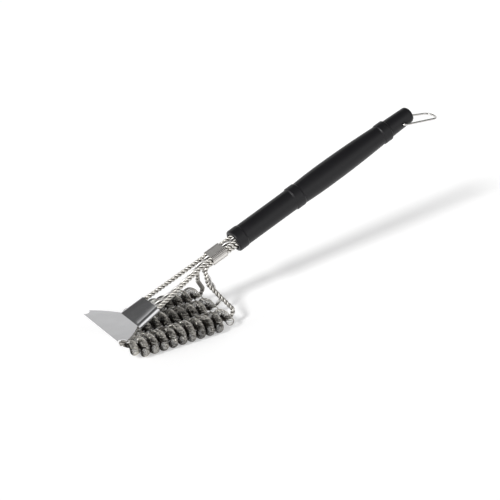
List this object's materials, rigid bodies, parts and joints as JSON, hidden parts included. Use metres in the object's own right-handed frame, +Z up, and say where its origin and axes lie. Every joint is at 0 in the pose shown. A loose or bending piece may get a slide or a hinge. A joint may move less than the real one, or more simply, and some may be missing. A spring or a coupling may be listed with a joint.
{
  "type": "grill cleaning brush",
  "caption": "Long-handled grill cleaning brush with wound wire cleaning coils on twisted wire frames, a scraper blade and a swinging wire hang loop.",
  "frame": {"origin": "on the floor plane, at the flat under the fourth turn of the middle cleaning coil, in the middle of the head", "axes": "+X towards the hang loop, in the plane of symmetry; +Z up, square to the surface that the coils stand on; +Y to the left of someone who looks along +X"},
  "size_m": [0.4661, 0.0902, 0.1956],
  "materials": {
    "handle_plastic": "matte black, softly sheened",
    "plug_plastic": "dark and dull, recessed in the handle's mouth",
    "loop_wire": "bright polished wire",
    "sleeve_sheet": "pressed steel sheet",
    "scraper_sheet": "satin, evenly brushed sheet",
    "frame_wire": "bright drawn wire, dark between its strands",
    "cleaning_wire": "fine bright wire with dark gaps"
  },
  "bodies": {
    "brush": {"handle_grip": "handle_plastic", "wire_plug": "plug_plastic", "clamp_sleeve": "sleeve_sheet", "scraper_plate": "scraper_sheet", "wire_frame_left": "frame_wire", "wire_frame_middle": "frame_wire", "wire_frame_right": "frame_wire", "cleaning_coil_left": "cleaning_wire", "cleaning_coil_middle": "cleaning_wire", "cleaning_coil_right": "cleaning_wire"},
    "loop": {"hang_loop": "loop_wire"}
  },
  "joints": [
    {"name": "hang_loop_swing", "type": "hinge", "parent": "brush", "child": "loop", "pos_m": [0.32557, 0, 0.18092], "axis": [0, -1, 0], "range_deg": [-129, 181]}
  ]
}
